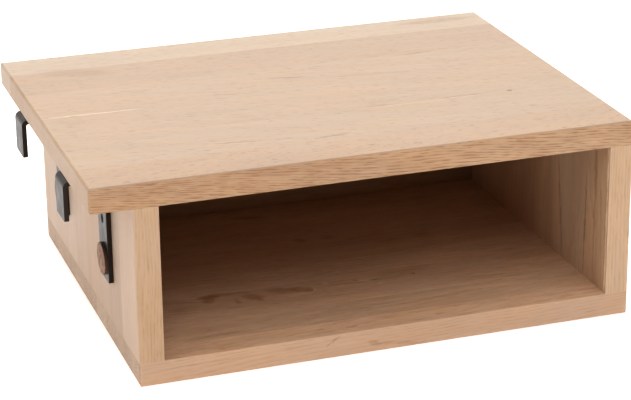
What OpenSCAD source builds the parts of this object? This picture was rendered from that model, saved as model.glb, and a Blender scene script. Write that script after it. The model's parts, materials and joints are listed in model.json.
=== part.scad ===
// Open bedside shelf of solid oak boards that hangs on a bed's side rail by two bent steel straps.
// Millimetres. +Z is up, the open front faces -Y, the hooks are on the -X side.
// The origin is the middle of the whole shelf's footprint, hooks included, at the underside of the
// bottom board.

/* [Shelf] */
// Width of the top board, from its free left end to its right end
top_w = 400; // [320:5:480]
// Depth of the boards, front to back
depth = 300; // [260:5:360]
// Height from the underside to the top surface
height = 150; // [140:5:200]
// Thickness of the top, bottom and side boards
board_t = 18; // [16:1:22]
// How far the top board reaches past the left side, over the bed rail
overhang = 30; // [26:1:40]
// Thickness of the back panel
back_t = 18; // [12:1:20]
// Distance from the rear edge of the boards to the back panel
back_inset = 25; // [10:1:40]
// Radius of the sanded outer edges
edge_r = 2; // [1:0.5:3]
// Radius of the edges round the opening, at the front and at the rear
arris_r = 0.5; // [0.3:0.1:1]

/* [Brackets] */
// Width of the steel strap
strap_w = 25; // [20:1:30]
// Thickness of the steel strap
strap_t = 3.5; // [3:0.5:4]
// Room between the two legs of a bracket
rail_gap = 26; // [24:1:32]
// Length of the leg on the shelf's side, below the top board
inner_leg = 81; // [70:1:95]
// Length of the free leg, below the top board
outer_leg = 30; // [20:1:40]
// Outside radius of the two bends
bend_r = 5; // [4.5:0.5:7]
// Radius of the corners at the ends of the legs
leg_corner_r = 2; // [1:0.5:4]
// Distance from the front or rear edge of the shelf to the middle of the bracket next to it
bracket_inset = 80; // [65:1:95]

/* [Felt pads] */
// Diameter of a felt pad
pad_d = 24; // [20:1:25]
// Thickness of a felt pad
pad_t = 2.5; // [2:0.5:5]
// Radius of the soft edge of a felt pad
pad_edge_r = 0.6; // [0.3:0.1:1]
// Distance from the end of the inner leg to the rim of the felt pad
pad_lift = 3.5; // [3:0.5:12]

/* [Screws] */
// Diameter of a bracket screw's shank
screw_d = 4; // [3:0.5:4]
// Length of a bracket screw, head included
screw_l = 16; // [12:1:18]
// Diameter of a bracket screw's countersunk head
screw_head_d = 7.4; // [6.5:0.1:8]
// Depth of the cross recess in the head
recess_depth = 1.6; // [1:0.1:1.8]
// Width of each slot of the cross recess
recess_w = 0.9; // [0.6:0.1:1.2]
// Length of each slot of the cross recess
recess_l = 3.6; // [2.5:0.1:4]
// Distance from the top board down to the middle of the upper screw
upper_screw_drop = 35; // [20:1:40]

/* [Dowels] */
// Diameter of a dowel
dowel_d = 8; // [6:1:8]
// Length of a dowel
dowel_l = 30; // [26:1:36]
// How deep a dowel goes into the flat of a board; the rest is in the end of the other board
dowel_in_face = 12; // [10:0.5:13]
// Chamfer at both ends of a dowel
dowel_chamfer = 1; // [0.5:0.1:1.5]
// Distance from the front or rear edge to the outer dowels of a joint
dowel_inset = 50; // [35:1:55]
// Number of dowels between a side and the top or bottom board
dowel_count = 3; // [2:1:4]
// Distance from the back panel's upper or lower edge to its dowels
back_dowel_inset = 30; // [25:1:40]

/* [Fits] */
// Glue room round a dowel, on the radius
dowel_fit = 0.1; // [0.05:0.05:0.2]
// Room left past each end of a dowel and past the tip of a screw
hole_spare = 0.5; // [0.3:0.1:1]
// Room round a screw, on the radius
screw_fit = 0.1; // [0.05:0.05:0.3]

/* [Hidden] */
$fn = 96;
eps = 0.01;

oak = [0.87, 0.74, 0.60];
oak_shade = [0.80, 0.65, 0.50];
blackened_steel = [0.16, 0.16, 0.17];
brown_felt = [0.52, 0.40, 0.33];
beech = [0.85, 0.72, 0.55];

// Where the boards lie
bracket_w = rail_gap + 2 * strap_t;
hook_out = max(0, bracket_w - overhang);
right_x = (top_w + hook_out) / 2;
left_x = right_x - top_w;
left_side_x = left_x + overhang;
right_side_x = right_x - board_t;
body_w = right_x - left_side_x;
front_y = -depth / 2;
rear_y = depth / 2;
under_top_z = height - board_t;
side_h = height - 2 * board_t;
inside_x = left_side_x + board_t;
inside_w = body_w - 2 * board_t;
back_y = rear_y - back_inset - back_t;

// Where the brackets and what they hold lie; a drop is a distance down from the top board
front_bracket_y = front_y + bracket_inset;
rear_bracket_y = rear_y - bracket_inset;
pad_drop = inner_leg - pad_lift - pad_d / 2;
screw_drops = [upper_screw_drop, pad_drop];
head_h = (screw_head_d - screw_d) / 2;
screw_tip_h = screw_d;

// Where the dowels lie
dowel_step = (depth - 2 * dowel_inset) / (dowel_count - 1);
dowel_ys = [for (i = [0 : dowel_count - 1]) front_y + dowel_inset + i * dowel_step];
back_dowel_zs = [board_t + back_dowel_inset, under_top_z - back_dowel_inset];
back_dowel_y = back_y + back_t / 2;

// Rectangle from the origin; radii are those of its corners, in the order
// lower left, lower right, upper right, upper left, and 0 leaves a corner sharp
module eased_rect(w, h, radii) {
    difference() {
        square([w, h]);
        corner_waste(radii[0]);
        translate([w, 0]) mirror([1, 0]) corner_waste(radii[1]);
        translate([w, h]) mirror([1, 0]) mirror([0, 1]) corner_waste(radii[2]);
        translate([0, h]) mirror([0, 1]) corner_waste(radii[3]);
    }
}

// What rounding a corner at the origin takes away
module corner_waste(r) {
    if (r > 0) difference() {
        translate([-eps, -eps]) square(r + eps);
        translate([r, r]) circle(r);
    }
}

// Board with its low corner at the origin; the three lists hold the radii of its upright edges,
// of those along Y and of those along X
module eased_board(w, d, h, upright, along_y, along_x) {
    intersection() {
        linear_extrude(h) eased_rect(w, d, upright);
        translate([0, d, 0]) rotate([90, 0, 0]) linear_extrude(d) eased_rect(w, h, along_y);
        rotate([90, 0, 90]) linear_extrude(w) eased_rect(d, h, along_x);
    }
}

// What easing takes from the front and rear edges of a flat face at height z, from x over length w;
// facing is 1 where the face looks up and 0 where it looks down
module arris_waste(x, w, z, facing) {
    for (m = [0, 1]) mirror([0, m, 0]) translate([x, front_y, z]) mirror([0, 0, facing])
        rotate([90, 0, 90]) linear_extrude(w) corner_waste(arris_r);
}

// Dowel along +Z, its middle joint plane at the origin: dowel_in_face goes up, the rest goes down
module dowel() {
    body_h = dowel_l - 2 * dowel_chamfer;
    translate([0, 0, dowel_in_face - dowel_l]) {
        cylinder(d1 = dowel_d - 2 * dowel_chamfer, d2 = dowel_d, h = dowel_chamfer);
        translate([0, 0, dowel_chamfer]) cylinder(d = dowel_d, h = body_h);
        translate([0, 0, dowel_chamfer + body_h])
            cylinder(d1 = dowel_d, d2 = dowel_d - 2 * dowel_chamfer, h = dowel_chamfer);
    }
}

// Bore for the whole dowel, cut from both boards at once
module dowel_bore() {
    translate([0, 0, dowel_in_face - dowel_l - hole_spare])
        cylinder(r = dowel_d / 2 + dowel_fit, h = dowel_l + 2 * hole_spare);
}

// Puts its child at every dowel between a side and the top board, the face end up
module at_top_joint(side_x) {
    for (y = dowel_ys) translate([side_x + board_t / 2, y, under_top_z]) children();
}

// Puts its child at every dowel between a side and the bottom board, the face end down
module at_bottom_joint(side_x) {
    for (y = dowel_ys) translate([side_x + board_t / 2, y, board_t]) mirror([0, 0, 1]) children();
}

// Puts its child at every dowel between the back panel and the left side, the face end to the left
module at_back_left_joint() {
    for (z = back_dowel_zs) translate([inside_x, back_dowel_y, z]) rotate([0, -90, 0]) children();
}

// The same at the right side, the face end to the right
module at_back_right_joint() {
    for (z = back_dowel_zs) translate([right_side_x, back_dowel_y, z]) rotate([0, 90, 0]) children();
}

// Puts its child where a bracket's screws enter, +Z pointing out of the shelf's side
module at_screws(bracket_y) {
    for (drop = screw_drops)
        translate([left_side_x - strap_t, bracket_y, under_top_z - drop]) rotate([0, -90, 0]) children();
}

// Countersunk wood screw along -Z, the top of its head at the origin
module wood_screw() {
    difference() {
        union() {
            translate([0, 0, -head_h]) cylinder(d1 = screw_d, d2 = screw_head_d, h = head_h);
            translate([0, 0, screw_tip_h - screw_l])
                cylinder(d = screw_d, h = screw_l - screw_tip_h - head_h);
            translate([0, 0, -screw_l]) cylinder(d1 = screw_d / 4, d2 = screw_d, h = screw_tip_h);
        }
        for (a = [0, 90]) rotate(a) translate([-recess_l / 2, -recess_w / 2, -recess_depth])
            cube([recess_l, recess_w, recess_depth + 1]);
    }
}

// Straight hole with a countersunk mouth that takes a screw
module screw_hole() {
    r = screw_d / 2 + screw_fit;
    translate([0, 0, -screw_l - hole_spare]) cylinder(r = r, h = screw_l + hole_spare + 1);
    translate([0, 0, -head_h]) cylinder(r1 = r, r2 = r + head_h, h = head_h);
    cylinder(r = r + head_h, h = 1);
}

// Outline of a bracket seen from the front: its upper right corner, against the side and
// under the top board, is the origin
module bracket_outline() {
    translate([-bracket_w, -inner_leg]) difference() {
        eased_rect(bracket_w, inner_leg, bend_r * [0, 0, 1, 1]);
        translate([strap_t, -1])
            eased_rect(rail_gap, inner_leg - strap_t + 1, (bend_r - strap_t) * [0, 0, 1, 1]);
        translate([-1, -1]) square([strap_t + 2, inner_leg - outer_leg + 1]);
    }
}

// Cuts the two corners off a leg's end at height z
module leg_end_waste(z) {
    for (m = [0, 1]) mirror([0, m, 0]) translate([-bracket_w - 1, -strap_w / 2, z])
        rotate([90, 0, 90]) linear_extrude(bracket_w + 2) corner_waste(leg_corner_r);
}

// One bent strap, its middle at bracket_y
module hook_bracket(bracket_y) {
    color(blackened_steel) difference() {
        translate([left_side_x, bracket_y, under_top_z]) difference() {
            translate([0, strap_w / 2, 0]) rotate([90, 0, 0]) linear_extrude(strap_w) bracket_outline();
            leg_end_waste(-inner_leg);
            intersection() {
                leg_end_waste(-outer_leg);
                translate([-bracket_w - 1, -strap_w, -inner_leg]) cube([strap_t + 2, 2 * strap_w, inner_leg]);
            }
        }
        at_screws(bracket_y) screw_hole();
    }
}

// Felt disc stuck on the inner leg, over the lower screw
module felt_pad(bracket_y) {
    color(brown_felt)
        translate([left_side_x - strap_t, bracket_y, under_top_z - pad_drop]) rotate([0, -90, 0])
            rotate_extrude() eased_rect(pad_d / 2, pad_t, [0, 0, pad_edge_r, 0]);
}

module top_board() {
    color(oak) difference() {
        translate([left_x, front_y, under_top_z])
            eased_board(top_w, depth, board_t, edge_r * [1, 1, 1, 1], edge_r * [1, 0, 1, 1],
                        edge_r * [0, 0, 1, 1]);
        arris_waste(left_x + edge_r, overhang - edge_r, under_top_z, 0);
        arris_waste(inside_x, inside_w, under_top_z, 0);
        at_top_joint(left_side_x) dowel_bore();
        at_top_joint(right_side_x) dowel_bore();
    }
}

module bottom_board() {
    color(oak) difference() {
        translate([left_side_x, front_y, 0])
            eased_board(body_w, depth, board_t, edge_r * [1, 1, 1, 1], edge_r * [1, 1, 0, 0],
                        edge_r * [1, 1, 0, 0]);
        arris_waste(inside_x, inside_w, board_t, 1);
        at_bottom_joint(left_side_x) dowel_bore();
        at_bottom_joint(right_side_x) dowel_bore();
    }
}

module left_side() {
    color(oak_shade) difference() {
        translate([left_side_x, front_y, board_t]) linear_extrude(side_h)
            eased_rect(board_t, depth, [edge_r, arris_r, arris_r, edge_r]);
        at_top_joint(left_side_x) dowel_bore();
        at_bottom_joint(left_side_x) dowel_bore();
        at_back_left_joint() dowel_bore();
        at_screws(front_bracket_y) screw_hole();
        at_screws(rear_bracket_y) screw_hole();
    }
}

module right_side() {
    color(oak_shade) difference() {
        translate([right_side_x, front_y, board_t]) linear_extrude(side_h)
            eased_rect(board_t, depth, [arris_r, edge_r, edge_r, arris_r]);
        at_top_joint(right_side_x) dowel_bore();
        at_bottom_joint(right_side_x) dowel_bore();
        at_back_right_joint() dowel_bore();
    }
}

module back_panel() {
    color(oak_shade) difference() {
        translate([inside_x, back_y, board_t]) cube([inside_w, back_t, side_h]);
        at_back_left_joint() dowel_bore();
        at_back_right_joint() dowel_bore();
    }
}

module front_bracket() { hook_bracket(front_bracket_y); }
module rear_bracket() { hook_bracket(rear_bracket_y); }

module front_felt_pad() { felt_pad(front_bracket_y); }
module rear_felt_pad() { felt_pad(rear_bracket_y); }

module front_bracket_screws() { color(blackened_steel) at_screws(front_bracket_y) wood_screw(); }
module rear_bracket_screws() { color(blackened_steel) at_screws(rear_bracket_y) wood_screw(); }

module top_left_dowels() { color(beech) at_top_joint(left_side_x) dowel(); }
module top_right_dowels() { color(beech) at_top_joint(right_side_x) dowel(); }
module bottom_left_dowels() { color(beech) at_bottom_joint(left_side_x) dowel(); }
module bottom_right_dowels() { color(beech) at_bottom_joint(right_side_x) dowel(); }
module back_left_dowels() { color(beech) at_back_left_joint() dowel(); }
module back_right_dowels() { color(beech) at_back_right_joint() dowel(); }

top_board();
bottom_board();
left_side();
right_side();
back_panel();
front_bracket();
rear_bracket();
front_felt_pad();
rear_felt_pad();
front_bracket_screws();
rear_bracket_screws();
top_left_dowels();
top_right_dowels();
bottom_left_dowels();
bottom_right_dowels();
back_left_dowels();
back_right_dowels();
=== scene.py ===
"""Open oak bedside shelf that hangs on a bed's side rail by two bent steel straps.

The boards come from the frame and get their oak finish here. The straps, screws, felt pads and
dowels are surfaces worked out below, in metres, where the frame holds their plain solids.
"""

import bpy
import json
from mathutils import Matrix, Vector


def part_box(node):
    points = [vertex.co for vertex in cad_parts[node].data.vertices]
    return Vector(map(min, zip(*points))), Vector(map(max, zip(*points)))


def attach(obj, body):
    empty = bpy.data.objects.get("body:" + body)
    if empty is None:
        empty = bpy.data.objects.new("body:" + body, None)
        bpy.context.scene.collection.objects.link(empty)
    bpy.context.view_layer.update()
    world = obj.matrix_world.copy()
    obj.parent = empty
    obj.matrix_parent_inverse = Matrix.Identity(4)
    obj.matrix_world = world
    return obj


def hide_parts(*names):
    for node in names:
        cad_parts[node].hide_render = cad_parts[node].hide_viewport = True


bl_info = {
    "name": "Hook-on bedside shelf",
    "version": (1, 0, 0),
    "blender": (4, 5, 0),
    "location": "3D View > Sidebar > Shelf",
    "description": "Finishes an oak bedside shelf with its straps, screws, pads and dowels",
    "category": "Object",
}

import json
import math

import bmesh
import bpy
import numpy as np
from bpy.props import FloatProperty, FloatVectorProperty, IntProperty, PointerProperty
from mathutils import Euler, Vector

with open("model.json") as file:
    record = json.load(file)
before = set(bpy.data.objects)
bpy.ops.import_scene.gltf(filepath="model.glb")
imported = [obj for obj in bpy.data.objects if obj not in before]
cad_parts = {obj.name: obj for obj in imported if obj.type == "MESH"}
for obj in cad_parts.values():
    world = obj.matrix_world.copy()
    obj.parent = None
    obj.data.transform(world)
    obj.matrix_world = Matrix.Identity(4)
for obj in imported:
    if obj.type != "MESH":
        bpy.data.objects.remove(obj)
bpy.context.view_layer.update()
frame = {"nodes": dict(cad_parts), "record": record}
MM = 0.001
BODY = "root"

X, Y, Z = 0, 1, 2
# Columns: where X, Y and Z of a screw or pad point once its top looks at the bed, along -X.
TOWARDS_BED = np.column_stack([(0.0, 0.0, 1.0), (0.0, -1.0, 0.0), (-1.0, 0.0, 0.0)])
# How much wider than its screw a hole in a strap is, on the radius.
HOLE_ROOM = 0.1 * MM
# How the two slots of a cross recess are turned.
RECESS_TURNS = (math.radians(20), math.radians(110))
# Edges that turn by less than this are shaded smooth.
SMOOTH_UP_TO = math.radians(35)
FELT_SMOOTH_UP_TO = math.radians(60)
CIRCLE_POINTS = 64


def low_high(node):
    """Lowest and highest corner of a frame node as two arrays, in metres."""
    low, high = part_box(node)
    return np.array(low), np.array(high)


def mount_place(name):
    """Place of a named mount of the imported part, in metres."""
    mounts = {mount["name"]: mount for mount in frame["record"]["mounts"]}
    return np.array(mounts[name]["pos_m"])


STRAP_TOP = low_high("front_bracket")[1][Z]
SCREW_LOW, SCREW_HIGH = low_high("front_bracket_screws")


# ---- sizes and colours

class OakSettings(bpy.types.PropertyGroup):
    """Colours of the oak boards"""
    pale: FloatVectorProperty(
        name="Pale wood", description="Colour of the smooth wood between the pores",
        subtype="COLOR", min=0, max=1, default=(0.68, 0.48, 0.315))
    dark: FloatVectorProperty(
        name="Dark wood", description="Colour at the start of each growth ring",
        subtype="COLOR", min=0, max=1, default=(0.48, 0.29, 0.165))
    pore: FloatVectorProperty(
        name="Pores", description="Colour down in the open pores",
        subtype="COLOR", min=0, max=1, default=(0.3, 0.16, 0.08))


class StrapSettings(bpy.types.PropertyGroup):
    """Sizes and colour of the two bent straps"""
    thickness: FloatProperty(
        name="Thickness", description="Thickness of the flat bar",
        subtype="DISTANCE", min=0.001, max=0.01,
        default=STRAP_TOP - mount_place("front_rail_seat")[Z])
    free_leg: FloatProperty(
        name="Free leg", description="Length of the leg that reaches behind the bed rail",
        subtype="DISTANCE", min=0.01, max=0.06, default=30 * MM)
    bend_radius: FloatProperty(
        name="Bend radius", description="Outside radius of the two bends",
        subtype="DISTANCE", min=0.004, max=0.02, default=5 * MM)
    corner_radius: FloatProperty(
        name="Corner radius", description="Radius of the corners at the ends of the legs",
        subtype="DISTANCE", min=0.0005, max=0.01, default=2 * MM)
    edge_radius: FloatProperty(
        name="Edge radius", description="Radius of the bar's long edges under the paint",
        subtype="DISTANCE", min=0.0001, max=0.001, default=0.35 * MM)
    colour: FloatVectorProperty(
        name="Paint", description="Colour of the satin black coat",
        subtype="COLOR", min=0, max=1, default=(0.008, 0.006, 0.005))


class ScrewSettings(bpy.types.PropertyGroup):
    """Sizes and colour of the four screws"""
    head_width: FloatProperty(
        name="Head width", description="Diameter of the countersunk head",
        subtype="DISTANCE", min=0.005, max=0.01, default=SCREW_HIGH[Y] - SCREW_LOW[Y])
    shank_width: FloatProperty(
        name="Shank width", description="Diameter over the thread",
        subtype="DISTANCE", min=0.002, max=0.004, default=4 * MM)
    thread_pitch: FloatProperty(
        name="Thread pitch", description="How far the screw goes in with one turn",
        subtype="DISTANCE", min=0.0008, max=0.003, default=1.8 * MM)
    recess_width: FloatProperty(
        name="Recess width", description="Width of each slot of the cross recess",
        subtype="DISTANCE", min=0.0004, max=0.0015, default=0.9 * MM)
    recess_length: FloatProperty(
        name="Recess length", description="Length of each slot of the cross recess",
        subtype="DISTANCE", min=0.002, max=0.005, default=3.6 * MM)
    recess_depth: FloatProperty(
        name="Recess depth", description="Depth of the cross recess",
        subtype="DISTANCE", min=0.0005, max=0.0018, default=1.6 * MM)
    colour: FloatVectorProperty(
        name="Coat", description="Colour of the black oxide coat",
        subtype="COLOR", min=0, max=1, default=(0.01, 0.009, 0.009))


class PadSettings(bpy.types.PropertyGroup):
    """Sizes and colours of the two felt pads"""
    edge_radius: FloatProperty(
        name="Edge radius", description="Radius of the worn front edge",
        subtype="DISTANCE", min=0.0001, max=0.001, default=0.6 * MM)
    fuzz: FloatProperty(
        name="Fuzz", description="Depth of the unevenness of the pressed fibres",
        subtype="DISTANCE", min=0, max=0.0003, default=0.12 * MM)
    face: FloatVectorProperty(
        name="Face", description="Colour of the fibres on the face",
        subtype="COLOR", min=0, max=1, default=(0.4, 0.215, 0.125))
    # The rim colour is much darker than the face; it covers the pad's sides.
    rim: FloatVectorProperty(
        name="Rim", description="Colour of the cut rim",
        subtype="COLOR", min=0, max=1, default=(0.088, 0.045, 0.028))


class DowelSettings(bpy.types.PropertyGroup):
    """Sizes and colour of the dowels inside the joints"""
    chamfer: FloatProperty(
        name="Chamfer", description="Chamfer at both ends",
        subtype="DISTANCE", min=0.0002, max=0.002, default=1 * MM)
    flute_depth: FloatProperty(
        name="Flute depth", description="Depth of the flutes that let the glue out",
        subtype="DISTANCE", min=0, max=0.0005, default=0.25 * MM)
    flutes: IntProperty(
        name="Flutes", description="Number of flutes round a dowel", min=8, max=40, default=20)
    colour: FloatVectorProperty(
        name="Beech", description="Colour of the raw beech",
        subtype="COLOR", min=0, max=1, default=(0.6, 0.4, 0.24))


class StageSettings(bpy.types.PropertyGroup):
    """Camera, floor and lights"""
    camera_place: FloatVectorProperty(
        name="Camera place", description="Where the camera stands",
        subtype="TRANSLATION", unit="LENGTH", default=(-0.49104, -1.51119, 0.67278))
    camera_turn: FloatVectorProperty(
        name="Camera turn", description="How the camera is turned",
        subtype="EULER", unit="ROTATION",
        default=(math.radians(68.98), math.radians(0.68), math.radians(-18.61)))
    lens: FloatProperty(
        name="Lens", description="Focal length on a 36 mm sensor",
        unit="CAMERA", min=20, max=300, default=127.42)
    floor_radius: FloatProperty(
        name="Floor radius", description="Radius of the round pale floor",
        subtype="DISTANCE", min=1, max=50, default=12.0)
    floor_colour: FloatVectorProperty(
        name="Floor", description="Colour of the floor",
        subtype="COLOR", min=0, max=1, default=(0.9, 0.9, 0.9))
    floor_glow: FloatProperty(
        name="Floor glow", description="Light that the floor gives by itself round the shelf",
        min=0, max=2, default=0.42)
    backdrop: FloatProperty(
        name="Backdrop", description="Brightness of the backdrop past the floor, for the camera alone",
        min=0, max=3, default=1.2)
    gamma: FloatProperty(
        name="Gamma", description="Gamma of the picture; below 1 gives a photograph's contrast",
        min=0.5, max=2, default=0.833)


# ---- surfaces

def grid_faces(rows, columns):
    """Quads of a grid whose rows follow each other and whose columns close into a ring."""
    row, column = np.meshgrid(np.arange(rows - 1), np.arange(columns), indexing="ij")
    after = (column + 1) % columns
    here, above = row * columns, (row + 1) * columns
    return np.stack([here + column, here + after, above + after, above + column], -1).reshape(-1, 4)


def closed_skins(solids):
    """Points and faces of solids with equal grids, an array of solids x rings x points x 3.

    Neighbouring rings are joined by quads, and the first and last ring of each solid are each
    closed by a face.
    """
    count, rows, around = solids.shape[:3]
    start = np.arange(count)[:, None, None] * rows * around
    sides = (grid_faces(rows, around) + start).reshape(-1, 4)
    ring = np.arange(around)
    ends = (np.stack([ring[::-1], ring + (rows - 1) * around]) + start).reshape(-1, around)
    return solids.reshape(-1, 3), sides.tolist() + ends.tolist()


def closed_skin(rings):
    """Points and faces of one solid, an array of rings x points x 3."""
    return closed_skins(rings[None])


def mesh_object(name, points, faces):
    """A new object at the origin with these points and faces, its faces turned outwards."""
    mesh = bpy.data.meshes.new(name)
    mesh.from_pydata(points.tolist(), [], faces)
    shape = bmesh.new()
    shape.from_mesh(mesh)
    bmesh.ops.recalc_face_normals(shape, faces=shape.faces)
    shape.to_mesh(mesh)
    shape.free()
    piece = bpy.data.objects.new(name, mesh)
    bpy.context.scene.collection.objects.link(piece)
    return piece


def cut_away(piece, cutter):
    """Takes the cutter's volume out of the piece, for good, and deletes the cutter."""
    cut = piece.modifiers.new("cut", "BOOLEAN")
    cut.operation, cut.solver, cut.object = "DIFFERENCE", "EXACT", cutter
    bpy.context.view_layer.update()
    result = piece.evaluated_get(bpy.context.evaluated_depsgraph_get())
    mesh = bpy.data.meshes.new_from_object(result)
    if not len(mesh.polygons):
        raise RuntimeError(f"nothing was left of {piece.name} after the cut")
    piece.modifiers.clear()
    old, piece.data = piece.data, mesh
    mesh.name = piece.name
    bpy.data.meshes.remove(old)
    bpy.data.objects.remove(cutter)


def finish_piece(piece, material, node, crease=SMOOTH_UP_TO):
    """Shades a new piece, gives it its material and puts it in the place of a frame node.

    Edges sharper than crease stay sharp.
    """
    piece.data.materials.clear()
    piece.data.materials.append(material)
    piece.data.shade_smooth()
    piece.data.set_sharp_from_angle(angle=crease)
    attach(piece, BODY)
    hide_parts(node)


def full_turn(count):
    """This many angles, evenly round a circle."""
    return np.linspace(0, 2 * math.pi, count, endpoint=False)


def round_z(radius, turn, height):
    """Rings round the Z axis: x is radius times cosine of turn, y radius times its sine."""
    return np.stack([radius * np.cos(turn), radius * np.sin(turn), height + 0 * turn], -1)


def turned(profile, around):
    """Rings of a shape turned about +Z: profile is radius and height, one row for each ring."""
    return round_z(profile[:, :1], full_turn(around), profile[:, 1:])


def placed(rings, place, axes=np.eye(3)):
    """Rings turned by the columns of axes and moved to their place."""
    return rings @ axes.T + place


def strap_rings(low, high, settings):
    """Rings of a bent strap in the box low, high.

    The middle line goes up the inner leg, round a quarter circle, over the bridge, round a second
    quarter circle and down the free leg. A rectangle with round corners is carried along it, its
    thickness square to the line. Towards both ends it grows narrower by the amount by which a
    circle of the corner radius falls short of the full width, and all its sides draw in the same
    way by the edge radius.
    """
    bend_points, inner_points, free_points, edge_points = 13, 12, 5, 5
    half_t, edge = settings.thickness / 2, settings.edge_radius
    bend = settings.bend_radius - half_t
    inner_x, outer_x = high[X] - half_t, low[X] + half_t
    bend_z = high[Z] - half_t - bend
    quarter = np.linspace(0, math.pi / 2, bend_points)
    corner = settings.corner_radius
    ease = np.unique(np.concatenate([edge * (1 - np.cos(quarter[::3])), corner * (1 - np.cos(quarter))]))

    def leg(end, points):
        """Heights of a leg's rings, close together where its end is rounded."""
        return np.concatenate([end + ease, np.linspace(end + 2 * corner, bend_z, points)])

    free_end = high[Z] - settings.free_leg
    inner_leg, free_leg = leg(low[Z], inner_points), leg(free_end, free_points)[::-1]
    turned_rings, far_off = bend_points - 1, 1.0
    angle = np.concatenate([0 * inner_leg, quarter[1:], quarter[:-1] + math.pi / 2, 0 * free_leg + math.pi])
    centre_x = np.repeat([inner_x - bend, outer_x + bend],
                         [len(inner_leg) + turned_rings, turned_rings + len(free_leg)])
    centre_z = np.concatenate([inner_leg, np.full(2 * turned_rings, bend_z), free_leg])
    out = np.stack([np.cos(angle), 0 * angle, np.sin(angle)], -1)
    middle = np.stack([centre_x, 0 * angle + (low[Y] + high[Y]) / 2, centre_z], -1) + bend * out
    past_end = np.concatenate([inner_leg - low[Z], np.full(2 * turned_rings, far_off), free_leg - free_end])
    narrower = corner - np.sqrt(corner**2 - np.clip(corner - past_end, 0, None) ** 2)
    drawn_in = edge - np.sqrt(edge**2 - np.clip(edge - past_end, 0, None) ** 2)
    half_w = (high[Y] - low[Y]) / 2 - narrower - drawn_in
    rounding = edge - drawn_in
    flat_w, flat_t = half_w - rounding, half_t - edge
    turn = np.concatenate([np.linspace(0, math.pi / 2, edge_points) + k * math.pi / 2 for k in range(4)])
    side_w = np.repeat([1, -1, -1, 1], edge_points)
    side_t = np.repeat([1, 1, -1, -1], edge_points)
    across = side_w * flat_w[:, None] + rounding[:, None] * np.cos(turn)
    deep = side_t * flat_t + rounding[:, None] * np.sin(turn)
    return middle[:, None] + across[..., None] * np.array([0, 1, 0]) + deep[..., None] * out[:, None]


def hole_rings(settings, room):
    """Rings of the tool that cuts a screw hole: a straight drill with a countersink on top.

    It is wider than the screw by room all round, and its countersink opens at the origin.
    """
    deep, above = 12 * MM, 2 * MM
    wide, narrow = settings.head_width / 2 + room, settings.shank_width / 2 + room
    sink = wide - narrow
    return turned(np.array([[narrow, -deep], [narrow, -sink], [wide, 0], [wide, above]]), CIRCLE_POINTS)


def screw_rings(length, settings):
    """Rings of a countersunk wood screw along -Z, the top of its head at the origin.

    The radius is a function of depth and angle: a cone under the head, a plain neck, then a core
    with one raised ridge that winds round it once every pitch, all drawn to a point at the tip.
    """
    around, neck_rings, thread_rings = 32, 6, 170
    head, shank = settings.head_width / 2, settings.shank_width / 2
    core, neck_end, run_in, tip, blunt = 0.66 * shank, 4 * MM, 1 * MM, 4 * MM, 0.02
    rim, dome, ridge_share = 0.12 * MM, 0.03 * MM, 0.3
    top = np.array([[head - 3 * rim, 0], [head - rim, -dome], [head, -rim]])
    neck = np.linspace(head - shank, neck_end, neck_rings)
    depth = np.concatenate([neck, np.linspace(neck_end, length, thread_rings)[1:]])[:, None]
    turn = full_turn(around)
    wound = (depth / settings.thread_pitch - turn / (2 * math.pi)) % 1
    ridge = np.clip(1 - np.abs(wound - 0.5) / ridge_share, 0, 1)
    threaded = np.clip((depth - neck_end) / run_in, 0, 1)
    plain = shank * (1 - threaded) + core * threaded
    point = np.clip((length - depth) / tip, blunt, 1)
    radius = (plain + (shank - plain) * ridge * threaded) * point
    return np.concatenate([turned(top, around), round_z(radius, turn, -depth)])


def slot_rings(settings, turn):
    """Rings of one slot of the cross recess, a bar that grows narrower and shorter with depth.

    Its two rings are rectangles, one at the bottom of the slot and one just above the head, each
    with its own share of the slot's length and width.
    """
    above, length_shares, width_shares = 0.3 * MM, (0.55, 1.06), (0.75, 1.04)
    corners = np.array([[1, 1], [-1, 1], [-1, -1], [1, -1]])
    height = np.array([-settings.recess_depth, above])
    length = settings.recess_length / 2 * np.array(length_shares)
    width = settings.recess_width / 2 * np.array(width_shares)
    flat = np.stack([corners[:, 0] * length[:, None], corners[:, 1] * width[:, None]], -1)
    cos, sin = math.cos(turn), math.sin(turn)
    flat = flat @ np.array([[cos, sin], [-sin, cos]])
    return np.concatenate([flat, height[:, None, None] + 0 * flat[..., :1]], -1)


def smooth_noise(rng, rows, columns, passes):
    """Random numbers on a grid whose columns close into a ring, with a spread of 1.

    Each pass replaces them by the mean of a point and its two neighbours, round and then across.
    """
    noise = rng.standard_normal((rows, columns))
    for _ in range(passes):
        noise = (noise + np.roll(noise, 1, 1) + np.roll(noise, -1, 1)) / 3
        noise[1:-1] = (noise[1:-1] + noise[:-2] + noise[2:]) / 3
    return noise / noise.std()


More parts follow.
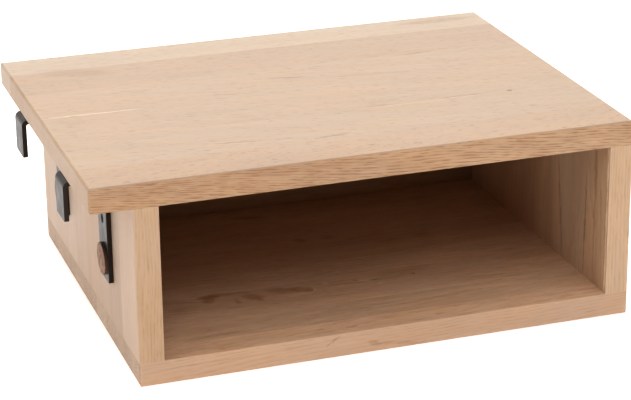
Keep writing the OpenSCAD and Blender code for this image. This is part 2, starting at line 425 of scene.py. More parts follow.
def pad_rings(radius, thickness, settings, seed):
    """Rings of a felt disc on the plane z = 0, its face up.

    The profile runs up the rim, round the edge and in over a flat face. Smoothed random amounts
    then move the rim's points outwards, but not at the glued underside, and the face's points
    along Z, least of all at its middle.
    """
    around, rim_rings, edge_rings, face_rings = 120, 9, 8, 34
    hub, glued, calm_middle, calmest = 0.15 * MM, 0.3 * MM, 1.5 * MM, 0.1
    fine_share, broad_share, fine_passes, broad_passes = 0.3, 0.25, 1, 6
    edge, spare = settings.edge_radius, settings.fuzz
    outer, top = radius - spare, thickness - spare
    bend = np.linspace(0, math.pi / 2, edge_rings)
    rim = np.stack([np.full(rim_rings, outer), np.linspace(0, top - edge, rim_rings)], -1)
    rounded = np.stack([outer - edge + edge * np.cos(bend), top - edge + edge * np.sin(bend)], -1)[1:]
    inward = np.linspace(outer - edge, hub, face_rings)[1:]
    face = np.stack([inward, np.full(len(inward), top)], -1)
    profile = np.concatenate([rim, rounded, face])
    rings = turned(profile, around)
    rng = np.random.default_rng(seed)
    fine = smooth_noise(rng, len(profile), around, fine_passes)
    broad = smooth_noise(rng, len(profile), around, broad_passes)
    amount = np.clip(spare * (fine_share * fine + broad_share * broad), -spare, spare)
    lift = np.clip(profile[:, 1:] / glued, 0, 1)
    calm = np.clip(profile[:, :1] / calm_middle, calmest, 1)
    outwards = rings / np.maximum(np.linalg.norm(rings[..., :2], axis=-1, keepdims=True), 1e-9)
    outwards[..., 2] = 0
    on_rim = (profile[:, :1] > outer - edge) * lift
    rings += (amount * on_rim)[..., None] * outwards
    rings[..., 2] += amount * calm * (profile[:, 1:] > top - edge)
    return rings


def dowel_rings(radius, length, settings):
    """Rings of a fluted dowel along +Z: the radius dips at each flute and shrinks at both ends."""
    chamfer, points_per_flute = settings.chamfer, 6
    height = np.array([0, chamfer / 2, chamfer, length / 2, length - chamfer, length - chamfer / 2, length])
    turn = full_turn(points_per_flute * settings.flutes)
    flute = settings.flute_depth * np.clip(np.cos(settings.flutes * turn), 0, 1)
    ends = np.clip(chamfer - np.minimum(height, length - height), 0, None)[:, None]
    reach = radius - np.maximum(flute, ends)
    return round_z(reach, turn, height[:, None])


# ---- materials

class Recipe:
    """A material and short ways to add and join its nodes."""

    def __init__(self, name):
        self.material = bpy.data.materials.new(name)
        self.material.use_nodes = True
        self.tree = self.material.node_tree
        self.tree.nodes.clear()
        self.shader = self.add("BsdfPrincipled")
        output = self.add("OutputMaterial")
        self.tree.links.new(self.shader.outputs["BSDF"], output.inputs["Surface"])

    def add(self, kind, **values):
        """A new node with these settings."""
        node = self.tree.nodes.new("ShaderNode" + kind)
        for name, value in values.items():
            setattr(node, name, value)
        return node

    def put(self, socket, value):
        """Joins a socket to another one, or sets its value."""
        if isinstance(value, bpy.types.NodeSocket):
            self.tree.links.new(value, socket)
        elif socket.type == "RGBA" and len(value) == 3:
            socket.default_value = (*value, 1)
        else:
            socket.default_value = value

    def result(self, kind, values, **settings):
        """Outputs of a new node whose first inputs take these values."""
        node = self.add(kind, **settings)
        for socket, value in zip(node.inputs, values):
            self.put(socket, value)
        return node.outputs

    def math(self, operation, *values):
        """Result of a Math node."""
        return self.result("Math", values, operation=operation)[0]

    def vector(self, operation, *values):
        """Result of a Vector Math node."""
        kind = "Value" if operation in ("DOT_PRODUCT", "LENGTH") else "Vector"
        return self.result("VectorMath", values, operation=operation)[kind]

    def split(self, vector):
        """The three parts of a vector."""
        return self.result("SeparateXYZ", (vector,))

    def combined(self, *values):
        """A vector of three values."""
        return self.result("CombineXYZ", values)[0]

    def step(self, value, low, high):
        """A smooth climb from 0 at low to 1 at high, level outside them; low may be the greater."""
        return self.result("MapRange", (value, low, high), interpolation_type="SMOOTHSTEP")[0]

    def blobs(self, place, size, detail=2.0, roughness=0.5):
        """Outputs of a noise with blobs of this size, one number or one for each axis."""
        node = self.add("TexNoise")
        size = (size,) * 3 if isinstance(size, float) else size
        self.put(node.inputs["Vector"], self.vector("DIVIDE", place, size))
        for name, value in (("Scale", 1.0), ("Detail", detail), ("Roughness", roughness)):
            node.inputs[name].default_value = value
        return node.outputs

    def noise(self, place, size, detail=2.0, roughness=0.5):
        """Noise from 0 to 1 with blobs of this size."""
        return self.blobs(place, size, detail, roughness)[0]

    def wander(self, place, size):
        """Three unlike noises as a vector, each from -0.5 to 0.5, with blobs of this size."""
        return self.vector("SUBTRACT", self.blobs(place, size)["Color"], (0.5, 0.5, 0.5))

    def mix(self, share, first, second, blend="MIX", **values):
        """Two colours mixed."""
        node = self.add("Mix", data_type="RGBA", blend_type=blend, **values)
        for index, value in ((0, share), (6, first), (7, second)):
            self.put(node.inputs[index], value)
        return node.outputs[2]

    def bump(self, height, distance, strength):
        """Puts a bump on the shader; distance, in metres, is how far a height of 1 stands out."""
        node = self.add("Bump")
        node.inputs["Strength"].default_value = strength
        node.inputs["Distance"].default_value = distance
        self.put(node.inputs["Height"], height)
        self.put(self.shader.inputs["Normal"], node.outputs["Normal"])

    def finish(self, **values):
        """Puts these values or sockets on the shader and gives back the material."""
        for name, value in values.items():
            self.put(self.shader.inputs[name.replace("_", " ").title()], value)
        return self.material


def stepped(recipe, across, staves, keys):
    """Three of each stave's values as a vector that changes at every glue line."""
    result = tuple(staves[0][key] for key in keys)
    for before, after in zip(staves, staves[1:]):
        past = recipe.math("GREATER_THAN", across, before["end"])
        change = tuple(after[key] - before[key] for key in keys)
        result = recipe.vector("MULTIPLY_ADD", past, change, result)
    return result


def stave(end, tone=1.0, warm=0.0, figure=0.6, pith=0.0, depth=-60.0, pitch=2.6, slope=0.0,
          dip=0.0, line=0.0):
    """One stave of a glued board, in millimetres in the pattern's directions.

    end is its far glue line, tone its brightness, warm how much redder or, below 0, bluer it
    is, and figure how clearly its growth rings show. pith and depth are where the tree's middle
    lay, across and through the board, and pitch is the distance of the rings. slope and dip say
    how far its fibres run across and through the board for each millimetre along it, and line
    is how dark the glue line at its end looks.
    """
    return dict(end=end, red=tone * (1 + warm / 2), green=tone, blue=tone * (1 - warm / 2), figure=figure,
                pith=pith, depth=depth, pitch=pitch, slope=slope, dip=dip, line=line)


# A half size, in millimetres, that takes a mark right through any board.
THROUGH = 1e4


def mark(x, y, length, width, shade, turn=0):
    """A mark in the wood's colour, dark where shade is above 0 and pale where it is below.

    x and y are its middle, along and across the grain, length and width its half sizes in
    millimetres, and turn is its angle to the grain in degrees. It goes through the whole board.
    Most marks are the grown wood's own; a few are painted shade or a painted highlight.
    """
    turn = math.radians(turn)
    return dict(middle=(x, y, 0), turn=(0, 0, turn), size=(length, width, THROUGH), shade=shade)


def edge_mark(x, z, length, width, shade, turn=0):
    """The same for the board's long edge: x is along the grain and z through the board."""
    turn = math.radians(-turn)
    return dict(middle=(x, 0, z), turn=(0, turn, 0), size=(length, THROUGH, width), shade=shade)


def surface(tint, grain, flecks, bands, dash):
    """How the faces or the long edges of a board look.

    tint multiplies the colour: partly the grain's own colour on that side, and partly painted light
    and shade that make a board's faces and long edges lighter or darker than each other.
    grain is how strong the growth rings, threads and patches are, flecks and bands do the same for
    those, and dash is the length of the open pores in millimetres.
    """
    return dict(tint=tint, amounts=(grain, flecks, bands), dash=dash)


ALONG_X = (0.0, 0.0, 0.0)
ALONG_Z = (0.0, math.radians(90), 0.0)
ALONG_X_UPRIGHT = (math.radians(-90), 0.0, 0.0)
# A board's turn lays its fibres along the pattern's X, and its long edges face along edge_axis.
# end is the tint of its two end faces. Places and sizes are in millimetres of the pattern.
BOARDS = {
    "top_board": dict(
        turn=ALONG_X, seed=1.0, edge_axis=(0, 1, 0), end=(0.825, 0.857, 0.935),
        face=surface((0.79, 0.79, 0.8), 0.22, 0.75, 0.35, 8),
        edge=surface((0.955, 0.92, 0.895), 1.45, 0.3, 0.55, 18),
        staves=[
            stave(-110, 0.95, 0.07, 0.1, -150, -75, 1.9, 0.05, -0.085),
            stave(-55, 1.01, -0.02, 0.6, -60, -90, slope=-0.15),
            stave(1, 0.99, 0.01, 0.4, -60, 75, slope=-0.15),
            stave(60, 0.99, 0.01, 0.6, 90, -60, slope=-0.17),
            stave(112, 0.93, 0.05, 0.4, 150, 80, slope=-0.1),
            stave(150, 1.12, -0.13, 0.5, 60, -90, line=0.2)],
        marks=[
            mark(145, -54.5, 2.2, 1.6, 1.2), mark(-158, 2.6, 34, 1.3, -1, -1.5),
            mark(45, -53, 15, 0.8, 0.45), mark(108, -53, 20, 0.8, 0.4), mark(80, -56, 55, 0.9, -0.3),
            mark(-78, -94, 20, 1, 0.6, -9), mark(-48, -98, 12, 0.9, 0.4, -6),
            mark(-10, -104, 14, 1.6, 0.6, 6), mark(0, 34, 15, 1.6, 0.45, -14),
            mark(62, 20, 34, 3, 0.2, -8), mark(112, 58, 20, 1.5, 0.4, 3),
            mark(-55, 11, 16, 1.1, 0.4, -10), mark(-150, 103, 28, 11, 0.25, -20),
            mark(160, 136, 34, 6, 0.4), mark(-110, -150, 150, 30, 0.12),
            mark(150, -150, 110, 12, -0.09)]),
    "bottom_board": dict(
        turn=ALONG_X, seed=2.0, edge_axis=(0, 1, 0), end=(0.766, 0.784, 0.844),
        face=surface((1.017, 0.998, 1.044), 1.3, 0.55, 0.8, 8),
        edge=surface((0.955, 0.94, 0.99), 0.4, 0.1, 0.55, 12),
        staves=[
            stave(-128, 1.06, 0.03, 0.4, -150, -90, 2.4, 0, 0.03),
            stave(-98, 0.96, 0, 0.3, -100, 80, slope=0.06),
            stave(-52, 1.02, 0, 0.3, -60, -45, slope=-0.05),
            stave(-21, 1.08, -0.01, 0.3, -60, -45, slope=-0.05),
            stave(26, 0.96, 0.05, 0.4, 60, 90), stave(150, 1.04, -0.02, 0.4, 160, -70)],
        marks=[
            mark(-92, -56, 9, 3.5, 0.9, -8), mark(-94, -62, 5, 5, 0.7, 30),
            mark(-108, -60, 10, 1.2, 0.5, -15), mark(-82, -54, 11, 2.6, 0.55, -6),
            mark(-74, -70, 2.2, 5, 0.6), mark(-114, -70, 14, 6, 0.3, -5),
            mark(-61, -66, 9, 5.5, 0.75, -32), mark(-66, -55, 7, 2.4, 0.4, -20),
            mark(-57, -73, 3, 3, 0.5), mark(-38, -62, 12, 5.5, 0.6, -22),
            mark(-23, -65, 9, 4.5, 0.7, -26), mark(58, -58, 20, 8, 0.25, 5),
            mark(-14.2, -68.5, 1.2, 1.2, -1.5), mark(20, -63, 2, 1.2, 0.6), mark(33, -66, 2.4, 1.4, 0.8),
            mark(25, -65, 7, 1.2, -0.5), mark(-3, -60, 2.2, 1.4, -0.6), mark(36, -74, 2.4, 1.2, -0.5),
            mark(65, -65, 2, 2, 1), mark(-18, 87, 16, 3, 0.7, -10), mark(6, 27, 6, 4, 0.6, -40),
            mark(28, 26, 5, 4, 0.5), mark(-19, -6, 6, 2, 0.4, -10), mark(73, 4, 12, 3, 0.4),
            mark(100, 6, 8, 3, 0.3, 10), mark(-10, -141, 4, 1.4, 0.7), mark(-34, -138, 4, 1.2, 0.5),
            mark(56, -141, 4, 1.4, 0.6), mark(-100, -121, 22, 1.4, 0.4),
            mark(30, -110, 14, 1.6, 0.35, 3), mark(-90, -30, 40, 16, 0.15, -5),
            # mark(175, -20, ...) is painted shade on the floor beside the right side.
            mark(70, -40, 40, 14, -0.15, 5), mark(110, -85, 30, 10, 0.15), mark(175, -20, 50, 60, 0.22),
            # mark(100, 108, ...) is painted shade along the corner of the floor and the back panel.
            mark(100, 108, 110, 38, 0.35), edge_mark(-113, 11.5, 45, 0.5, 0.3),
            edge_mark(-52, 12.2, 14, 0.5, 0.35, 2), edge_mark(-28, 13, 7, 0.6, 0.5, 32),
            edge_mark(3.5, 7, 6, 2, 0.35, -15), edge_mark(22, 4.5, 18, 1.6, 0.25, -8)]),
    "left_side": dict(
        turn=ALONG_Z, seed=3.0, edge_axis=(0, 1, 0), end=(0.8, 0.8, 0.8),
        face=surface((0.921, 0.964, 1.089), 0.25, 0.12, 0.4, 11),
        edge=surface((0.965, 0.95, 0.945), 0.5, 0.15, 0.6, 9),
        staves=[
            # The staves ending at -84 and -62 are darker partly by the wood's own tone and partly as painted
            # shade around the front strap.
            stave(-104, 1.02, 0, 0.5, -150, 60), stave(-84, 0.88, -0.03, 0.4, -60, -70),
            stave(-62, 0.88, 0.02, 0.4, -60, -70), stave(-33, 0.92, 0.02, 0.4, -20, 90),
            stave(2, 0.9, 0.05, 0.5, -20, 90), stave(38, 0.95, 0.01, 0.4, 80, -90),
            stave(150, 1.04, -0.07, 0.4, 40, 80)],
        marks=[mark(98, -94, 3, 1.2, 0.5)]),
    "right_side": dict(
        turn=ALONG_Z, seed=4.0, edge_axis=(0, 1, 0), end=(0.8, 0.8, 0.8),
        face=surface((1.096, 1.108, 1.128), 0.6, 0.25, 0.8, 11),
        edge=surface((1.09, 1.095, 1.13), 0.5, 0.15, 0.6, 11),
        staves=[
            stave(-111, 0.97, 0, 0.9, -150, 60), stave(-67, 1.01, -0.08, 0.4, -60, -90),
            stave(-48, 1.03, 0, 0.5, 40, 70), stave(-18, 1, 0.04, 0.5, 40, 70, line=0.5),
            stave(32, 0.98, 0.05, 0.5, 90, -60), stave(150, 1.03, 0, 0.4, 50, 80)],
        marks=[
            mark(75, -68, 300, 16, -0.35), mark(62, -67.2, 46, 1.2, 0.9, 8),
            mark(60, -111.6, 46, 1.1, 0.9, -1.3), mark(104, -128, 22, 2.5, 0.6, 3),
            mark(60, -127.2, 45, 1.2, 0.45), mark(60, -100, 50, 1, 0.2, 4),
            mark(60, -139, 50, 1, 0.3, 4), mark(62, -145.6, 42, 0.8, 0.4, -1),
            # The next mark is a painted highlight: a pale line along the rounded front edge.
            mark(75, -147.4, 90, 1, -1.2)]),
    "back_panel": dict(
        turn=ALONG_X_UPRIGHT, seed=5.0, edge_axis=(0, 0, 1), end=(0.8, 0.8, 0.8),
        # The face tint's darker, yellower colour is painted shade of the compartment's back; it falls on the
        # panel's outer face as well.
        face=surface((0.815, 0.765, 0.68), 0.8, 0.3, 0.7, 8),
        edge=surface((1, 1, 1), 0.8, 0.3, 0.7, 8),
        staves=[
            stave(45, 0.98, 0, 0.5, 20, -80), stave(92, 1, 0, 0.5, 120, 70),
            stave(132, 0.99, 0, 0.5, 60, -80)],
        marks=[]),
}


def oak(name, board, settings):
    """Oak glued up from staves, as a solid pattern in the board's own directions, in millimetres.

    Growth rings are circles round each stave's pith, bent by slow noise. Each ring starts dark,
    with short dashes of open pores along the fibres, and grows paler. Flecks and threads lie
    apart from the rings. Slow noise stretched along the fibres gives broad bands and warmer and
    cooler patches. Marks are ellipses whose outline wobbles; most are the wood's own, and a few
    are painted shade or a painted highlight. Glue lines are thin planes between two staves, and
    the faces, long edges and ends each have their own tint; the face and edge tints are partly
    the grain's own colour and partly painted light and shade.
    """
    facing_from, facing_full = 0.55, 0.9
    stave_jump, board_jump, depth_jump = 7.0, 977, 3.0
    slow_bend, quick_bend, ring_fade = 26.0, 1.5, 2.0
    pore_width, dash_from, dash_full = 0.7, 0.46, 0.6
    dash_shade, ring_shade, thread_shade, patch_shade, ground = 0.75, 0.15, 0.35, 0.6, 0.25
    mark_outside, mark_inside, line_outside, line_inside = 1.3, 0.5, 0.9, 0.2
    wobble_size, wobble_reach = (9, 3, 3), (9, 4, 1)
    palest, darkest, pore_share = -0.8, 1.5, 0.3
    pore_depth, bump_strength, smooth, rougher = 0.05 * MM, 0.5, 0.52, 0.15
    cool, warm = (0.985, 1.0, 1.03), (1.015, 1.0, 0.97)

    recipe = Recipe(name)
    coordinates = recipe.add("TexCoord")
    grain = recipe.add("Mapping")
    grain.inputs["Rotation"].default_value = board["turn"]
    grain.inputs["Scale"].default_value = (1 / MM,) * 3
    recipe.put(grain.inputs["Vector"], coordinates.outputs["Object"])
    place = grain.outputs["Vector"]
    along, across = recipe.split(place)[:2]

    def facing(direction):
        """1 where the surface looks along this direction or against it, and 0 elsewhere."""
        turned_to = recipe.vector("DOT_PRODUCT", coordinates.outputs["Normal"], direction)
        return recipe.step(recipe.math("ABSOLUTE", turned_to), facing_from, facing_full)

    on_end, on_edge = facing(grain_direction(board["turn"])), facing(board["edge_axis"])
    face, edge, staves = board["face"], board["edge"], board["staves"]
    change = tuple(there - here for here, there in zip(face["amounts"], edge["amounts"]))
    strengths = recipe.split(recipe.vector("MULTIPLY_ADD", on_edge, change, face["amounts"]))
    dash = recipe.math("MULTIPLY_ADD", on_edge, edge["dash"] - face["dash"], face["dash"])
    tone = stepped(recipe, across, staves, ("red", "green", "blue"))
    pith, depth, pitch = recipe.split(stepped(recipe, across, staves, ("pith", "depth", "pitch")))
    slope, dip, figure = recipe.split(stepped(recipe, across, staves, ("slope", "dip", "figure")))
    figure = recipe.math("MAXIMUM", figure, on_edge)

    lean = recipe.combined(0.0, recipe.math("MULTIPLY", slope, -1.0), recipe.math("MULTIPLY", dip, -1.0))
    fibre = recipe.vector("MULTIPLY_ADD", along, lean, place)
    seeded = recipe.math("MULTIPLY_ADD", pith, stave_jump, board["seed"] * board_jump)
    jump = recipe.combined(seeded, 0.0, recipe.math("MULTIPLY", depth, depth_jump))
    own = recipe.vector("ADD", fibre, jump)

    def streaks(length, width, detail=2.0):
        """Noise drawn out along the fibres."""
        return recipe.noise(own, (length, width, width), detail)

    def waves(length, width):
        """The same, from -0.5 to 0.5."""
        return recipe.math("SUBTRACT", streaks(length, width), 0.5)

    def strokes(length, width, begin, full):
        """Separate strokes, where that noise climbs from begin to full."""
        return recipe.step(streaks(length, width, 1.0), begin, full)

    bend = recipe.math("MULTIPLY", waves(60, 8), quick_bend)
    bend = recipe.math("MULTIPLY_ADD", waves(240, 45), slow_bend, bend)
    y, z = recipe.split(fibre)[1:]
    y, z = recipe.math("SUBTRACT", y, pith), recipe.math("SUBTRACT", z, depth)
    radius = recipe.math("POWER", recipe.math("MULTIPLY_ADD", y, y, recipe.math("MULTIPLY", z, z)), 0.5)
    ring = recipe.math("FRACT", recipe.math("DIVIDE", recipe.math("ADD", radius, bend), pitch))
    early = recipe.math("POWER", recipe.math("SUBTRACT", 1.0, ring), ring_fade)
    open_pores = recipe.noise(own, recipe.combined(dash, pore_width, pore_width), 1.0)
    dashes = recipe.step(open_pores, dash_from, dash_full)
    pores = recipe.math("MULTIPLY", strokes(9, 0.35, 0.58, 0.7), early)
    flecks = strokes(10, 1.0, 0.61, 0.75)
    threads = strokes(30, 1.1, 0.6, 0.76)
    warmer = strokes(60, 14, 0.3, 0.7)

    shade = recipe.math("MULTIPLY", recipe.math("MULTIPLY", early, dashes), dash_shade)
    shade = recipe.math("MULTIPLY_ADD", early, ring_shade, shade)
    shade = recipe.math("MULTIPLY", shade, figure)
    shade = recipe.math("MULTIPLY_ADD", threads, thread_shade, shade)
    shade = recipe.math("MULTIPLY_ADD", waves(18, 4.5), patch_shade, shade)
    shade = recipe.math("MULTIPLY_ADD", shade, strengths[0], ground)
    shade = recipe.math("MULTIPLY_ADD", flecks, strengths[1], shade)
    shade = recipe.math("MULTIPLY_ADD", waves(110, 15), strengths[2], shade)
    wobble = recipe.vector("MULTIPLY", recipe.wander(own, wobble_size), wobble_reach)
    wobbled = recipe.vector("ADD", place, wobble)
    for spot in board["marks"]:
        ellipse = recipe.add("Mapping", vector_type="TEXTURE")
        for socket, value in zip(ellipse.inputs[1:], (spot["middle"], spot["turn"], spot["size"])):
            socket.default_value = value
        recipe.put(ellipse.inputs["Vector"], wobbled)
        away = recipe.vector("LENGTH", ellipse.outputs["Vector"])
        inside = recipe.step(away, mark_outside, mark_inside)
        shade = recipe.math("MULTIPLY_ADD", inside, spot["shade"], shade)
    for glued in staves:
        if glued["line"]:
            away = recipe.math("ABSOLUTE", recipe.math("SUBTRACT", across, glued["end"]))
            inside = recipe.step(away, line_outside, line_inside)
            shade = recipe.math("MULTIPLY_ADD", inside, glued["line"], shade)
    shade = recipe.math("MAXIMUM", recipe.math("MINIMUM", shade, darkest), palest)

    colour = recipe.mix(shade, settings.pale, settings.dark, clamp_factor=False)
    colour = recipe.mix(recipe.math("MULTIPLY", pores, pore_share), colour, settings.pore)
    colour = recipe.mix(1.0, colour, recipe.mix(warmer, cool, warm), "MULTIPLY")
    colour = recipe.mix(1.0, colour, tone, "MULTIPLY")
    # The face and edge tints carry painted light and shade as well as the grain's own colour.
    tint = recipe.mix(on_end, recipe.mix(on_edge, face["tint"], edge["tint"]), board["end"])
    colour = recipe.mix(1.0, colour, tint, "MULTIPLY")
    recipe.bump(recipe.math("MULTIPLY", pores, -1.0), pore_depth, bump_strength)
    rough = recipe.math("MULTIPLY_ADD", pores, rougher, smooth)
    return recipe.finish(Base_color=colour, Roughness=rough)


def grain_direction(turn):
    """Direction in the object that the Mapping node's turn lays along the pattern's X."""
    return tuple(Euler(turn).to_matrix().inverted() @ Vector((1, 0, 0)))


def black_coat(name, colour, roughness, shine):
    """Black coat with a faint grain and slow patches of more and less sheen."""
    grain_size, grain_depth, patch_size = 0.4 * MM, 0.02 * MM, 9 * MM
    darker, lighter, rougher = 0.8, 1.5, 0.1
    warm_shine = (0.95, 0.7, 0.56)
    recipe = Recipe(name)
    place = recipe.add("TexCoord").outputs["Object"]
    recipe.bump(recipe.noise(place, grain_size), grain_depth, 0.5)
    patch = recipe.step(recipe.noise(place, patch_size, 3.0), 0.3, 0.7)
    paint = recipe.mix(patch, tuple(darker * c for c in colour), tuple(lighter * c for c in colour))
    rough = recipe.math("MULTIPLY_ADD", patch, rougher, roughness)
    recipe.shader.inputs["Specular IOR Level"].default_value = shine
    return recipe.finish(Base_color=paint, Roughness=rough, Specular_tint=warm_shine)


def felt(name, settings, middle):
    """Pressed brown felt: mottled face and a much darker colour on the sides that look outwards; middle is
    the pad's own middle.
    """
    blotch_size, hair_size, hair_depth = 4 * MM, 0.25 * MM, 0.15 * MM
    darker, lighter, hair_share = 0.62, 1.15, 0.35
    recipe = Recipe(name)
    coordinates = recipe.add("TexCoord")
    centred = recipe.add("Mapping")
    centred.inputs["Location"].default_value = tuple(-c for c in middle)
    recipe.put(centred.inputs["Vector"], coordinates.outputs["Object"])
    place = centred.outputs["Vector"]
    blotch = recipe.step(recipe.noise(place, blotch_size, 3.0), 0.35, 0.65)
    hair = recipe.noise(place, hair_size, 3.0, 0.7)
    dark, light = tuple(darker * c for c in settings.face), tuple(lighter * c for c in settings.face)
    face = recipe.mix(blotch, dark, light)
    face = recipe.mix(recipe.math("MULTIPLY", hair, hair_share), face, settings.rim)
    outward = recipe.math("ABSOLUTE", recipe.vector("DOT_PRODUCT", coordinates.outputs["Normal"], (1, 0, 0)))
    colour = recipe.mix(recipe.step(outward, 0.35, 0.8), settings.rim, face)
    recipe.bump(hair, hair_depth, 0.8)
    return recipe.finish(Base_color=colour, Roughness=0.95, Sheen_weight=0.2)


def beech(name, colour):
    """Raw beech: fine short flecks on an even ground."""
    fleck_size, fleck_depth, darker = 0.5 * MM, 0.03 * MM, 0.75
    recipe = Recipe(name)
    place = recipe.add("TexCoord").outputs["Object"]
    fleck = recipe.noise(place, fleck_size, 3.0)
    share = recipe.step(fleck, 0.45, 0.7)
    wood = recipe.mix(share, colour, tuple(darker * c for c in colour))
    recipe.bump(fleck, fleck_depth, 0.5)
    return recipe.finish(Base_color=wood, Roughness=0.6)


# ---- operators

class SHELF_OT_boards(bpy.types.Operator):
    """Gives the five oak boards their grain"""
    bl_idname = "shelf.boards"
    bl_label = "Oak boards"

    def execute(self, context):
        for node, board in BOARDS.items():
            piece = frame["nodes"][node]
            piece.data.materials.clear()
            piece.data.materials.append(oak("oak_" + node, board, context.scene.shelf_oak))
        return {"FINISHED"}


class SHELF_OT_straps(bpy.types.Operator):
    """Makes the two bent straps with their countersunk holes"""
    bl_idname = "shelf.straps"
    bl_label = "Straps"

    def execute(self, context):
        scene = context.scene
        paint = black_coat("satin_black", scene.shelf_strap.colour, roughness=0.28, shine=0.5)
        for side in ("front", "rear"):
            node = side + "_bracket"
            low, high = low_high(node)
            piece = mesh_object(side + "_strap", *closed_skin(strap_rings(low, high, scene.shelf_strap)))
            for place in screw_places(side + "_bracket_screws"):
                hole = placed(hole_rings(scene.shelf_screw, HOLE_ROOM), place, TOWARDS_BED)
                cut_away(piece, mesh_object("drill", *closed_skin(hole)))
            finish_piece(piece, paint, node)
            flat = piece.modifiers.new("flat_faces", "WEIGHTED_NORMAL")
            flat.keep_sharp = True
        return {"FINISHED"}


def screw_places(node):
    """Where the tops of a bracket's two screws are."""
    low, high = low_high(node)
    half_head = (high[Y] - low[Y]) / 2
    return [np.array([low[X], low[Y] + half_head, z]) for z in (high[Z] - half_head, low[Z] + half_head)]


class SHELF_OT_screws(bpy.types.Operator):
    """Makes the screws with their threads and cross recesses"""
    bl_idname = "shelf.screws"
    bl_label = "Screws"

    def execute(self, context):
        settings = context.scene.shelf_screw
        coat = black_coat("black_oxide", settings.colour, roughness=0.55, shine=0.08)
        for side in ("front", "rear"):
            node = side + "_bracket_screws"
            low, high = low_high(node)
            rings = screw_rings(high[X] - low[X], settings)
            places = screw_places(node)
            screws = np.stack([placed(rings, place, TOWARDS_BED) for place in places])
            piece = mesh_object(side + "_screws", *closed_skins(screws))
            for place in places:
                for turn in RECESS_TURNS:
                    slot = placed(slot_rings(settings, turn), place, TOWARDS_BED)
                    cut_away(piece, mesh_object("slot", *closed_skin(slot)))
            finish_piece(piece, coat, node)
        return {"FINISHED"}


class SHELF_OT_pads(bpy.types.Operator):
    """Makes the felt pads"""
    bl_idname = "shelf.pads"
    bl_label = "Felt pads"

    def execute(self, context):
        settings = context.scene.shelf_pad
        for seed, side in ((3, "front"), (4, "rear")):
            node = side + "_felt_pad"
            low, high = low_high(node)
            middle = (low + high) / 2
            rings = pad_rings((high[Y] - low[Y]) / 2, high[X] - low[X], settings, seed)
            place = np.array([high[X], middle[Y], middle[Z]])
            piece = mesh_object(side + "_pad", *closed_skin(placed(rings, place, TOWARDS_BED)))
            wool = felt("felt_" + side, settings, middle)
            finish_piece(piece, wool, node, FELT_SMOOTH_UP_TO)
        return {"FINISHED"}


class SHELF_OT_dowels(bpy.types.Operator):
    """Makes the fluted dowels inside the joints"""
    bl_idname = "shelf.dowels"
    bl_label = "Dowels"

    def execute(self, context):
        settings = context.scene.shelf_dowel
        wood = beech("raw_beech", settings.colour)
        upright, laid_along_x = np.eye(3), np.roll(np.eye(3), 1, 0)
        corners = ("top_left", "top_right", "bottom_left", "bottom_right")
        joints = [(place, upright, Z, Y, 3) for place in corners]
        joints += [(place, laid_along_x, X, Z, 2) for place in ("back_left", "back_right")]
        for place, axes, along, spread, count in joints:
            node = place + "_dowels"
            low, high = low_high(node)
            other = X + Y + Z - along - spread
            radius = (high[other] - low[other]) / 2
            rings = dowel_rings(radius, high[along] - low[along], settings)
            starts = np.repeat((low + high)[None] / 2, count, 0)
            starts[:, along] = low[along]
            starts[:, spread] = np.linspace(low[spread] + radius, high[spread] - radius, count)
            dowels = np.stack([placed(rings, start, axes) for start in starts])
            finish_piece(mesh_object(place + "_fluted", *closed_skins(dowels)), wood, node)
        return {"FINISHED"}


LIT_POINT = Vector((0, 0, 0.075))
LIGHTS = {
    # name: (azimuth, elevation, distance, size, power); azimuth 0 is in front, 90 to the right
    "overhead": (0, 88, 2.2, 2.4, 22.4),
    "left_wall": (-92, 38, 2.2, 2.8, 29.8),
    "back_wall": (162, 25, 2.4, 2.2, 48.1),
    "back_left": (-155, 20, 2.2, 1.4, 6.5),
    "key_front": (-10, 45, 2.2, 1.2, 15.2),
    "key_right": (40, 50, 2.2, 1.2, 9.2),
}


def add_light(name, azimuth, elevation, distance, size, power):
    """A square soft light that looks at the middle of the shelf from this direction."""
    data = bpy.data.lights.new(name, "AREA")
    data.shape, data.size, data.energy = "SQUARE", size, power
    light = bpy.data.objects.new(name, data)
    a, e = math.radians(azimuth), math.radians(elevation)
    away = Vector((math.sin(a) * math.cos(e), -math.cos(a) * math.cos(e), math.sin(e)))
    light.location = LIT_POINT + distance * away
    light.rotation_euler = away.to_track_quat("Z", "Y").to_euler()
    bpy.context.scene.collection.objects.link(light)


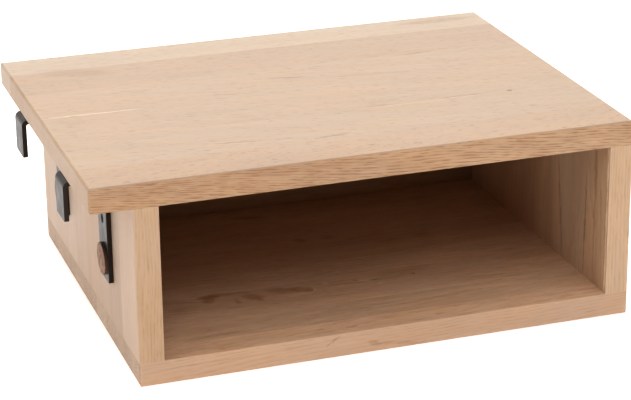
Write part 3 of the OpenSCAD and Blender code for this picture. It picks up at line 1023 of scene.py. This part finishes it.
class SHELF_OT_stage(bpy.types.Operator):
    """Sets the camera, the pale floor and the soft lights"""
    bl_idname = "shelf.stage"
    bl_label = "Stage"

    def execute(self, context):
        scene, settings = context.scene, context.scene.shelf_stage
        sensor_width, floor_middle, far_glow = 36, 0.5, 0.8
        glow_from, glow_full = 1.7, 3.0
        data = bpy.data.cameras.new("camera")
        data.sensor_width, data.lens = sensor_width, settings.lens
        camera = bpy.data.objects.new("camera", data)
        camera.location, camera.rotation_euler = settings.camera_place, settings.camera_turn
        scene.collection.objects.link(camera)
        scene.camera = camera

        disc = turned(np.array([[settings.floor_radius, 0.0], [floor_middle, 0.0]]), CIRCLE_POINTS)
        faces = grid_faces(2, CIRCLE_POINTS).tolist() + [list(range(CIRCLE_POINTS, 2 * CIRCLE_POINTS))]
        floor = mesh_object("floor", disc.reshape(-1, 3), faces)
        pale = Recipe("pale_floor")
        away = pale.vector("LENGTH", pale.add("TexCoord").outputs["Object"])
        share = pale.step(away, glow_from, glow_full)
        glow = pale.math("MULTIPLY_ADD", share, far_glow, settings.floor_glow)
        floor.data.materials.append(pale.finish(
            Base_color=settings.floor_colour, Roughness=0.9,
            Emission_color=(1, 1, 1), Emission_strength=glow))

        for name, values in LIGHTS.items():
            add_light(name, *values)
        world = bpy.data.worlds.new("room")
        world.use_nodes = True
        tree = world.node_tree
        background = tree.nodes["Background"]
        background.inputs["Color"].default_value = (1, 1, 1, 1)
        ray, strength = tree.nodes.new("ShaderNodeLightPath"), tree.nodes.new("ShaderNodeMath")
        strength.operation, strength.inputs[1].default_value = "MULTIPLY", settings.backdrop
        tree.links.new(ray.outputs["Is Camera Ray"], strength.inputs[0])
        tree.links.new(strength.outputs[0], background.inputs["Strength"])
        scene.world = world
        scene.view_settings.view_transform = "Standard"
        scene.view_settings.gamma = settings.gamma
        return {"FINISHED"}


class SHELF_PT_panel(bpy.types.Panel):
    """The shelf's pieces, in the order in which they are made"""
    bl_idname = "SHELF_PT_panel"
    bl_label = "Bedside shelf"
    bl_space_type = "VIEW_3D"
    bl_region_type = "UI"
    bl_category = "Shelf"

    def draw(self, context):
        for operator in OPERATORS:
            self.layout.operator(operator.bl_idname)


SETTINGS = {
    "shelf_oak": OakSettings, "shelf_strap": StrapSettings, "shelf_screw": ScrewSettings,
    "shelf_pad": PadSettings, "shelf_dowel": DowelSettings, "shelf_stage": StageSettings,
}
OPERATORS = (
    SHELF_OT_stage, SHELF_OT_boards, SHELF_OT_straps, SHELF_OT_screws, SHELF_OT_pads, SHELF_OT_dowels)
CLASSES = (*SETTINGS.values(), *OPERATORS, SHELF_PT_panel)


def register():
    """Makes the settings, operators and panel known to Blender."""
    for made in CLASSES:
        bpy.utils.register_class(made)
    for name, group in SETTINGS.items():
        setattr(bpy.types.Scene, name, PointerProperty(type=group))


def unregister():
    """Takes them all away again."""
    for name in SETTINGS:
        delattr(bpy.types.Scene, name)
    for made in reversed(CLASSES):
        bpy.utils.unregister_class(made)


def main():
    """Makes the whole scene."""
    register()
    bpy.ops.shelf.stage()
    bpy.ops.shelf.boards()
    bpy.ops.shelf.straps()
    bpy.ops.shelf.screws()
    bpy.ops.shelf.pads()
    bpy.ops.shelf.dowels()


if __name__ == "__main__":
    main()
